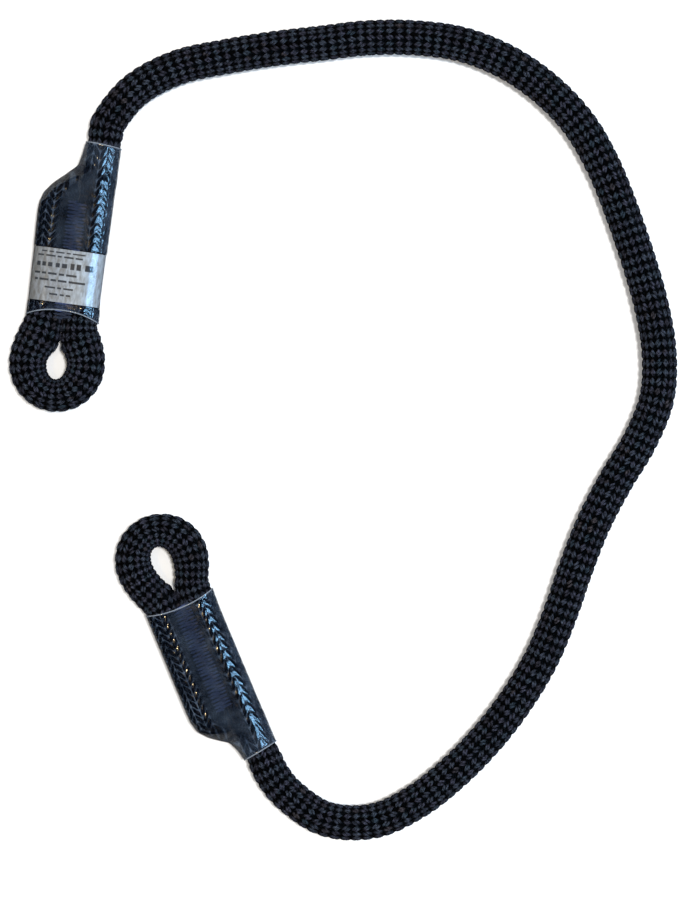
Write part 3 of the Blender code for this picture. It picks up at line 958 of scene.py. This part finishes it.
def film_look(sleeve, grids):
    """How milky the film is, how much painted highlight its rim has, and how opaque it is, at each
    point.
    """
    along, across, _, crown, grip, edge = grids
    covered = sleeve.covered(along)
    hold = sleeve.hold(along, grip)
    raised = crown * hold / np.maximum(hold, 0.05)
    hazy = 1 - smoothstep((raised - 0.16) / 0.26)
    patch = np.sin(along * 210 + across * 130 + 1.3) * np.sin(across * 330 - along * 90)
    patch = 0.5 + 0.5 * patch
    past_neck = along - sleeve.end["neck_end"]
    neck = 1 - smoothstep((past_neck + 0.004) / 0.006)
    cells = np.maximum(0.40 + 0.60 * patch, 0.9 * neck) * hazy + 0.20 * neck
    outer_side = smoothstep((-across - 0.0045) / 0.0030) * (0.22 + 0.30 * patch)
    cells = np.maximum(cells, outer_side)
    milk = cells * grip + (0.10 + 0.14 * patch) * (1 - grip)
    bridge = np.exp(-(((past_neck - 0.0008) / 0.0015) ** 2))
    bridge = bridge * smoothstep((across - 0.0065) / 0.003) * (0.20 + 0.45 * hazy)
    milk = np.maximum(milk, bridge) * (1 - covered)
    # Painted highlight: the film's cut edges are paler and more opaque, as if catching the light.
    rim = 1 - smoothstep((edge - 0.00025) / 0.0005)
    opaque = 0.42 + 0.36 * rim + 0.25 * bridge - 0.34 * covered
    return milk, rim, opaque


def add_sleeve(name, sleeve, materials):
    """The film, with a wall, a lip at each mouth, and the yarns' crowns showing in it."""
    outer = sleeve.surface()
    inner = sleeve.surface(SLEEVE_WALL)
    walls = [sleeve.world(*grids[:3]) for grids in (outer, inner)]
    loops = np.concatenate((walls[0], walls[1][::-1]))
    quads = shell_faces(*loops.shape[:2])[:, ::-1]
    piece = make_piece(f"{name}_film", loops.reshape(-1, 3), (quads,), materials["sleeve"])
    for look, values in zip(("milk", "rim", "film"), film_look(sleeve, outer)):
        both = np.concatenate((values, values[::-1]))
        point_value(piece, look, np.clip(both, 0, 1))
    settle(piece, name, "clear_sleeve", f"{name}_sleeve")


def add_seam(name, end, side, materials):
    """Zigzag stitching that pulls the two legs together, above (1) or below (-1) them."""
    start, stop = end["seam"]
    crossings = int((stop - start) / STITCH)
    t = np.arange(crossings * CROSSING_POINTS + 1) / CROSSING_POINTS
    reach = SEAM_HALF_WIDTH + random.uniform(-0.0004, 0.0004, crossings + 2)
    reach = np.interp(t, np.arange(crossings + 2) - 0.5, reach)
    sweep = 2 / math.pi * np.arcsin(0.985 * np.sin(math.pi * t))
    across = reach * sweep
    along = start + t * STITCH + 0.00012 * np.sin(t * 0.9) + 0.0001 * np.sin(t * 2.3)
    # The thread dips in the groove, dives where it turns, and is never quite even
    height = SEAM_HEIGHT - 0.0004 * np.cos(math.pi * across / (2 * SEAM_HALF_WIDTH)) ** 2
    height = height - 0.0013 * smoothstep((np.abs(sweep) - 0.80) / 0.2)
    height = height + 0.00008 * np.sin(t * 1.7 + 1)
    points = end_to_world(end, along, across + LEG_SPACING / 2, side * height)
    ahead = unit(np.gradient(points, axis=0))
    beside = unit(np.cross(ahead, UP))
    upward = np.cross(beside, ahead)
    thick = np.full((1, len(points)), THREAD_RADIUS)
    frames = points[None], beside[None], upward[None]
    rings = tubes(*frames, thick * 1.1, thick * 0.9, YARN_SIDES)
    faces = tube_faces(1, len(points), YARN_SIDES)
    where = "top" if side > 0 else "bottom"
    thread_name = f"{name}_thread_{where}"
    piece = make_piece(thread_name, rings.reshape(-1, 3), faces, materials["thread"])
    # Painted shade from just past the film's mouth, where nothing lights the thread.
    bare = smoothstep((along - end["rim"][0]) / 0.0006)
    point_value(piece, "bare", np.repeat(bare, YARN_SIDES))
    map_tubes(piece, "thread", lengths_along(points) * 1000, 1)
    settle(piece, name, "sewing_thread", f"{name}_stitching_{where}")


def add_seal(name, end, materials):
    """The tail's melted end: a lumpy skin over the cut, with a collar round the yarns."""
    profile = [(0.0022, 0.80), (0.0022, 1.03), (0.0006, 1.06)]
    profile += [
        (-0.0022 * math.sin(a), 1.06 * math.cos(a) ** 0.7)
        for a in np.linspace(0, math.pi / 2 * 0.93, 12)
    ]
    sides = 48
    turn = np.linspace(0, 2 * math.pi, sides, endpoint=False)
    rings = []
    for depth, share in profile:
        lump = 1 + 0.03 * np.sin(3 * turn + depth * 900) + 0.02 * np.sin(7 * turn + 2)
        across = TAIL_RADIUS * share * lump * np.cos(turn)
        height = TAIL_RADIUS * share * lump * np.sin(turn)
        along = end["tail_end"] + SEAL_THICKNESS + depth + end["tail_slant"] * across
        rings.append(end_to_world(end, along, across + LEG_SPACING, height))
    points = np.concatenate(rings)
    faces = tube_faces(1, len(rings), sides)
    piece = make_piece(f"{name}_melted_tail", points, faces, materials["seal"])
    settle(piece, name, "melted_rope_end", f"{name}_tail_seal")


# Rows of plain bars: (place along the label, half its height, (start, end) of each across it)
PRINT = (
    (0.07, 0.016, ((0.24, 0.30), (0.32, 0.36), (0.38, 0.46), (0.48, 0.52), (0.54, 0.66))),
    (0.15, 0.016, ((0.20, 0.27), (0.29, 0.38), (0.40, 0.44), (0.46, 0.55), (0.57, 0.64))),
    (0.31, 0.040, ((0.20, 0.24), (0.26, 0.30), (0.32, 0.36), (0.39, 0.43), (0.45, 0.50))),
    (0.31, 0.055, ((0.53, 0.57), (0.59, 0.63), (0.67, 0.75))),
    (0.48, 0.020, ((0.18, 0.25), (0.27, 0.31), (0.33, 0.41), (0.43, 0.48), (0.50, 0.60))),
    (0.60, 0.020, ((0.19, 0.23), (0.25, 0.34), (0.36, 0.41), (0.43, 0.51), (0.53, 0.69))),
    (0.74, 0.018, ((0.31, 0.41), (0.43, 0.47), (0.49, 0.58))),
    (0.86, 0.016, ((0.36, 0.44), (0.46, 0.50), (0.52, 0.56))),
)


def columns_above(along, height, place):
    """The film's columns that are above the label's edges at a place, in order across it."""
    row = np.argmin(np.abs(along[:, -1] - place))
    above = np.where(height[row] > LABEL_EDGE)[0]
    return np.roll(above, -(np.argmax(np.diff(above)) + 1))


def label_sheet(grids, order, places):
    """A face of the label, read from the film's grids: a row at each place, in even columns."""
    strips = [
        np.stack((places, np.interp(places, u, x), np.interp(places, u, z)), axis=-1)
        for u, x, z in zip(*(grid[:, order].T for grid in grids))
    ]
    coarse = np.stack(strips, axis=1)
    at = np.linspace(0, len(order) - 1, LABEL_COLUMNS)
    low = np.minimum(at.astype(int), len(order) - 2)
    share = (at - low)[None, :, None]
    return coarse[:, low] * (1 - share) + coarse[:, low + 1] * share


def add_label(sleeve, materials):
    """The printed strip under the film, over both legs and down their outer sides."""
    start, end = sleeve.label
    faces = [sleeve.surface(SLEEVE_WALL + n * LABEL_THICKNESS)[:3] for n in (1, 2)]
    order = columns_above(faces[0][0], faces[0][2], (start + end) / 2)
    places = np.linspace(start, end, LABEL_ROWS)
    front, back = (label_sheet(grids, order, places) for grids in faces)
    loops = np.concatenate((front, back[:, ::-1]), axis=1)
    points = sleeve.world(*np.moveaxis(loops, -1, 0)).reshape(-1, 3)
    piece = make_piece("label_strip", points, tube_faces(1, *loops.shape[:2]), materials["label"])
    down, side = np.linspace(0, 1, LABEL_ROWS), np.linspace(0, 1, LABEL_COLUMNS)
    v, u = np.meshgrid(down, side, indexing="ij")
    ink = np.zeros(u.shape)
    for place, tall, words in PRINT:
        for left, right in words:
            ink[(np.abs(v - place) < tall) & (u > left) & (u < right)] = 1.0
    point_value(piece, "ink", np.concatenate((ink, np.zeros_like(ink)), axis=1))
    sheet = np.stack((u, v), axis=-1)
    sheet = np.concatenate((sheet, sheet[:, ::-1]), axis=1).reshape(-1, 2)
    corners = np.zeros(len(piece.data.loops), np.int32)
    piece.data.loops.foreach_get("vertex_index", corners)
    corner_map(piece, "sheet", sheet[corners])
    settle(piece, "labelled_end", "label_film", "label")


def add_sewn_end(name, line, bends, materials):
    """All that is sewn, melted, shrunk or printed at one end."""
    sleeve = Sleeve(name, line, bends)
    add_sleeve(name, sleeve, materials)
    for side in (1, -1):
        add_seam(name, sleeve.end, side, materials)
    add_seal(name, sleeve.end, materials)
    if sleeve.label:
        add_label(sleeve, materials)


# ---- stage


def add_floor():
    """A plain pale floor, a hair under the rope."""
    size = 6.0
    corners = [(-size, -size, 0), (size, -size, 0), (size, size, 0), (-size, size, 0)]
    mesh = bpy.data.meshes.new("floor")
    mesh.from_pydata(corners, [], [(0, 1, 2, 3)])
    look = Look("floor", (0.93, 0.93, 0.93), 0.9)
    look.set({"Specular IOR Level": 0.1})
    mesh.materials.append(look.material)
    floor = add_object("floor", mesh)
    floor.location.z = -0.0002
    floor.visible_glossy = False


def add_area(name, location, size, power, colour):
    """A soft light that points at the origin."""
    data = bpy.data.lights.new(name, "AREA")
    data.shape = "RECTANGLE"
    data.size, data.size_y = size
    data.energy = power
    data.color = colour
    light = add_object(name, data)
    light.location = location
    light.rotation_euler = Vector(location).to_track_quat("Z", "Y").to_euler()


def add_sun(name, direction, strength, angle, colour):
    """Plain light from above that gives no glints of its own."""
    data = bpy.data.lights.new(name, "SUN")
    data.energy = strength
    data.angle = math.radians(angle)
    data.color = colour
    light = add_object(name, data)
    light.rotation_euler = Vector(direction).to_track_quat("Z", "Y").to_euler()
    light.visible_glossy = False


def add_lights():
    """Light from above, a cool window on the right and a small warm lamp on the left."""
    add_sun("overhead", (0.15, 0.04, 1.0), 2.55, 7, (1.0, 0.985, 0.96))
    add_area("window", (0.95, 0.0, 0.90), (0.18, 1.3), 6.5, (0.30, 0.62, 1.0))
    add_area("lamp", (-0.46, -0.03, 1.25), (0.07, 0.07), 1.2, (1.0, 0.74, 0.38))
    world = bpy.data.worlds.new("studio")
    world.use_nodes = True
    background = world.node_tree.nodes["Background"]
    background.inputs["Color"].default_value = (0.97, 0.98, 1.0, 1)
    background.inputs["Strength"].default_value = 0.68
    bpy.context.scene.world = world
    world.cycles_visibility.glossy = False


def add_camera():
    data = bpy.data.cameras.new("camera")
    data.sensor_width = 36
    data.lens = 36 * (CAMERA_DISTANCE - ROPE_RADIUS) / VIEW_HEIGHT
    data.clip_start, data.clip_end = 0.05, 50
    camera = add_object("camera", data)
    camera.location = (*CAMERA_MIDDLE, CAMERA_DISTANCE)
    bpy.context.scene.camera = camera


def main():
    bpy.context.scene.view_settings.view_transform = "Standard"
    add_camera()
    add_lights()
    add_floor()
    materials = {
        "cover": yarn_material(),
        "core": core_material(),
        "thread": thread_material(),
        "seal": seal_material(),
        "sleeve": sleeve_material(),
        "label": label_material(),
    }
    line, bends, middles = whole_line()
    add_free_rope(line, bends, middles, materials)
    labelled, plain = ENDS["labelled_end"], ENDS["plain_end"]
    start = bends[0] - BEND_TO_SLEEVE - JOIN
    cut = end_cut(line, labelled, True)
    add_eye_rope("labelled_end", line, 0.0, start, materials, cut)
    start = bends[-1] + BEND_TO_SLEEVE + JOIN
    cut = end_cut(line, plain, False)
    add_eye_rope("plain_end", line, start, line.length, materials, cut)
    for name in ENDS:
        add_sewn_end(name, line, bends, materials)


main()
